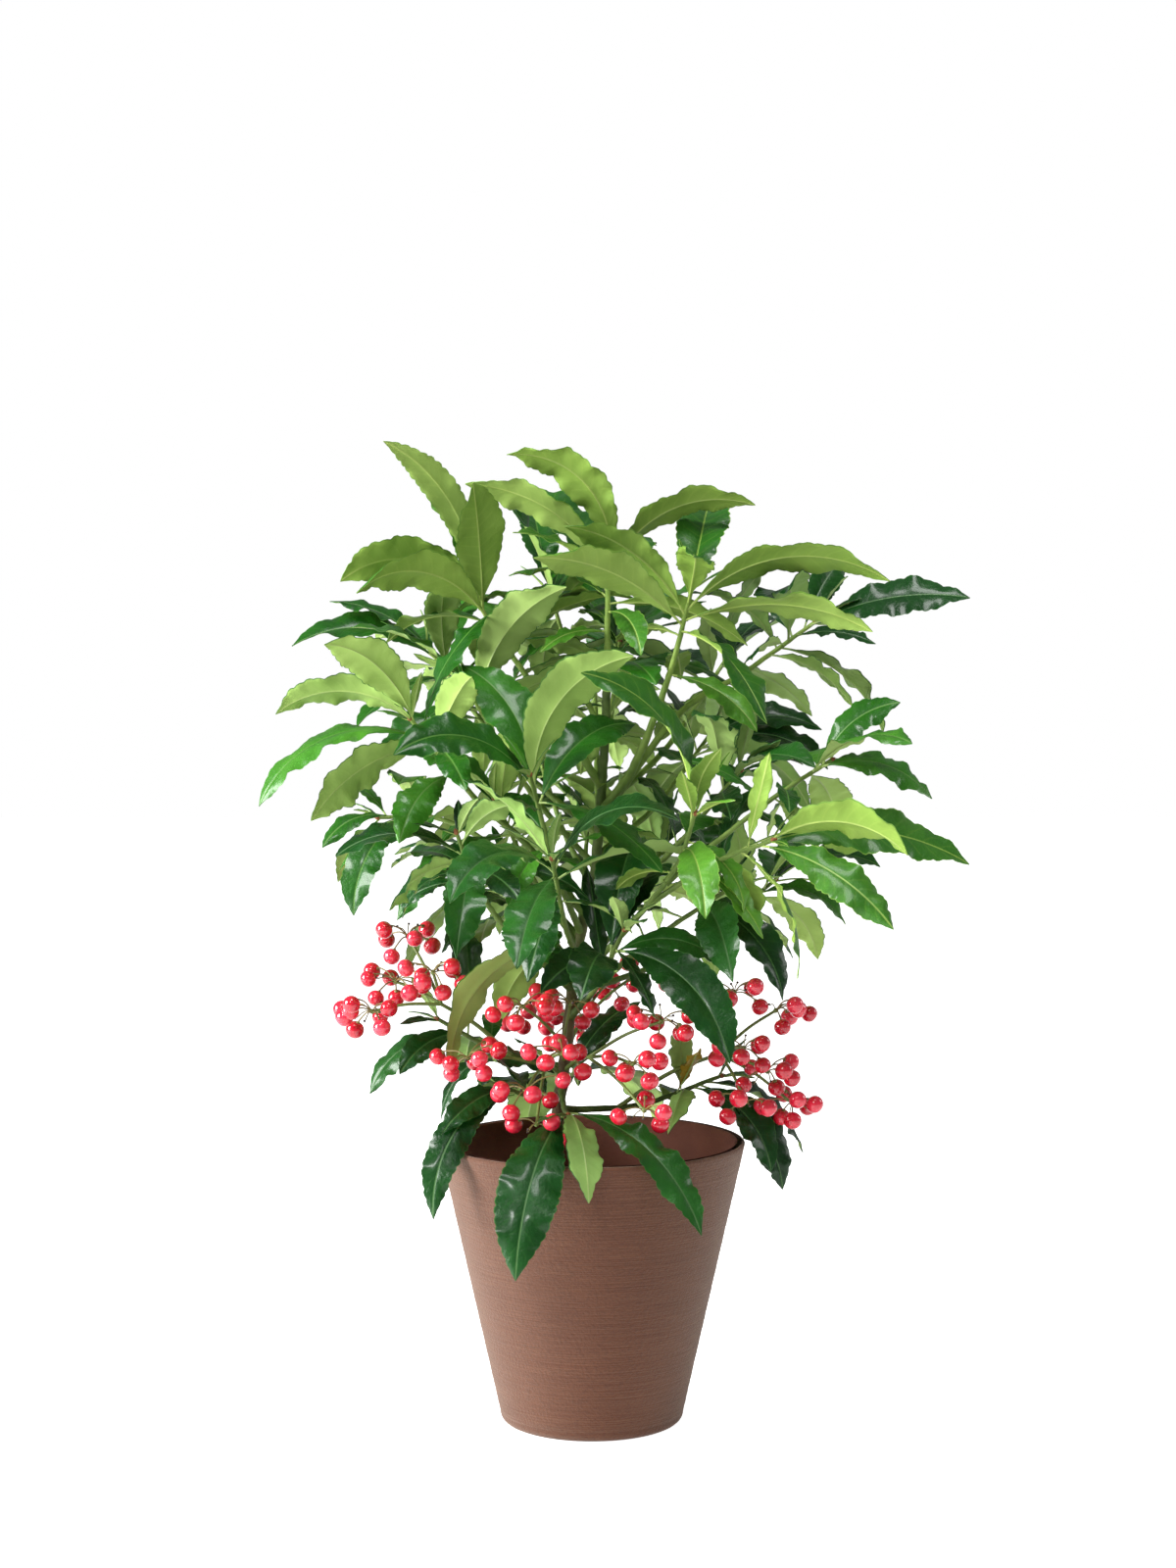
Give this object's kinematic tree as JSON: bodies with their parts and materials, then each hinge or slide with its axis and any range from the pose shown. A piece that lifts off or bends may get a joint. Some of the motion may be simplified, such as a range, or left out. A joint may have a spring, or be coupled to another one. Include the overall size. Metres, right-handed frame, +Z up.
{
  "type": "potted ardisia",
  "caption": "Small evergreen shrub with whorls of long leaves and red berries on bare stems, growing in a tapered round clay pot that stands on its flat foot.",
  "frame": {"origin": "centre of the pot's flat underside, on the surface that it stands on", "axes": "+Z up through the plant, -Y towards the side the plant is mostly seen from, +X to that view's right"},
  "size_m": [0.398, 0.345, 0.547],
  "materials": {
    "pot_clay": "matte",
    "potting_soil": "matte",
    "stem_bark": "satin",
    "leaf_young": "satin",
    "leaf_green": "satin",
    "leaf_dark": "gloss",
    "berry_red": "gloss"
  },
  "bodies": {
    "root": {"berries_back": "berry_red", "berries_front_high": "berry_red", "berries_front_left": "berry_red", "berries_front_right": "berry_red", "berries_left": "berry_red", "berries_right": "berry_red", "bough_back_low": "stem_bark", "bough_back_upper": "stem_bark", "bough_foot_left": "stem_bark", "bough_foot_right": "stem_bark", "bough_front_fork": "stem_bark", "bough_front_left": "stem_bark", "bough_front_middle": "stem_bark", "bough_left": "stem_bark", "bough_left_back": "stem_bark", "bough_left_low": "stem_bark", "bough_lower_front": "stem_bark", "bough_lower_left": "stem_bark", "bough_right": "stem_bark", "bough_right_back": "stem_bark", "bough_right_low_back": "stem_bark", "bough_upper_left": "stem_bark", "bough_upper_right": "stem_bark", "leaves_back_left": "leaf_green", "leaves_back_left_low": "leaf_dark", "leaves_back_low": "leaf_dark", "leaves_back_right_low": "leaf_dark", "leaves_back_upper": "leaf_green", "leaves_foot_left": "leaf_dark", "leaves_foot_right": "leaf_dark", "leaves_fork_front": "leaf_young", "leaves_fork_right": "leaf_green", "leaves_front_fork": "leaf_young", "leaves_front_left": "leaf_green", "leaves_front_middle": "leaf_dark", "leaves_left": "leaf_green", "leaves_left_back": "leaf_green", "leaves_left_drop": "leaf_green", "leaves_left_inner": "leaf_green", "leaves_left_low": "leaf_green", "leaves_left_middle": "leaf_green", "leaves_lower_front": "leaf_dark", "leaves_lower_left": "leaf_dark", "leaves_lower_right": "leaf_dark", "leaves_right": "leaf_dark", "leaves_right_back": "leaf_dark", "leaves_right_inner": "leaf_dark", "leaves_right_low_back": "leaf_green", "leaves_right_middle": "leaf_dark", "leaves_rim_back": "leaf_dark", "leaves_rim_front": "leaf_dark", "leaves_rim_left": "leaf_dark", "leaves_top": "leaf_young", "leaves_top_back": "leaf_green", "leaves_top_left_back": "leaf_green", "leaves_upper_left": "leaf_young", "leaves_upper_right": "leaf_young", "pot": "pot_clay", "soil": "potting_soil", "trunk": "stem_bark"}
  },
  "joints": []
}
